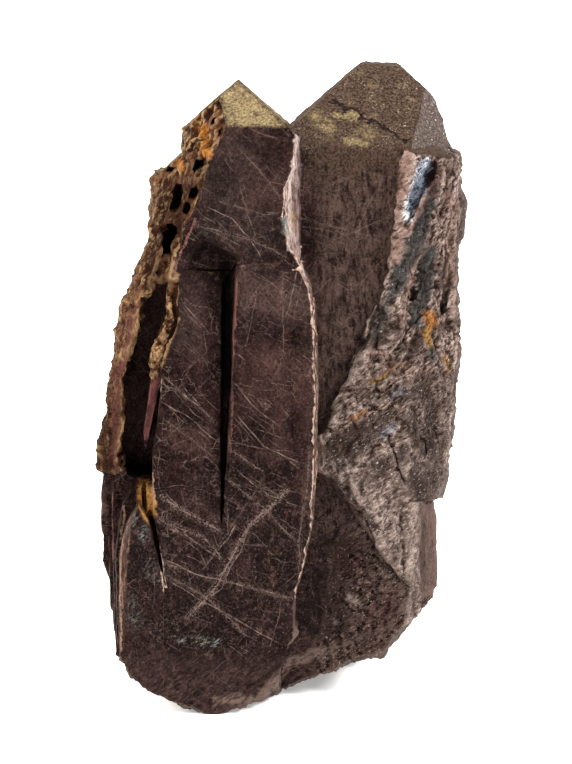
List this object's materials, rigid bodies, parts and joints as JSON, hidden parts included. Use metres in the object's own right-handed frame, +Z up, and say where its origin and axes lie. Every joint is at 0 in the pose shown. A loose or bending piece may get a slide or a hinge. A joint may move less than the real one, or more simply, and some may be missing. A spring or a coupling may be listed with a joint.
{
  "type": "zircon crystal",
  "caption": "Natural zircon crystal: parallel square prisms under low pyramid tips, grown together in one mass with rough contact faces, standing upright on its broken base.",
  "frame": {"origin": "on the standing surface, under the centre of the crystals' bounding box", "axes": "+Z up, near the crystals' long axis; -Y towards the broad front faces; +X towards the right-hand crystal"},
  "size_m": [0.0338, 0.0326, 0.0565],
  "materials": {
    "zircon": "glossy, scratched"
  },
  "bodies": {
    "root": {"zircon_crystal": "zircon"}
  },
  "joints": []
}
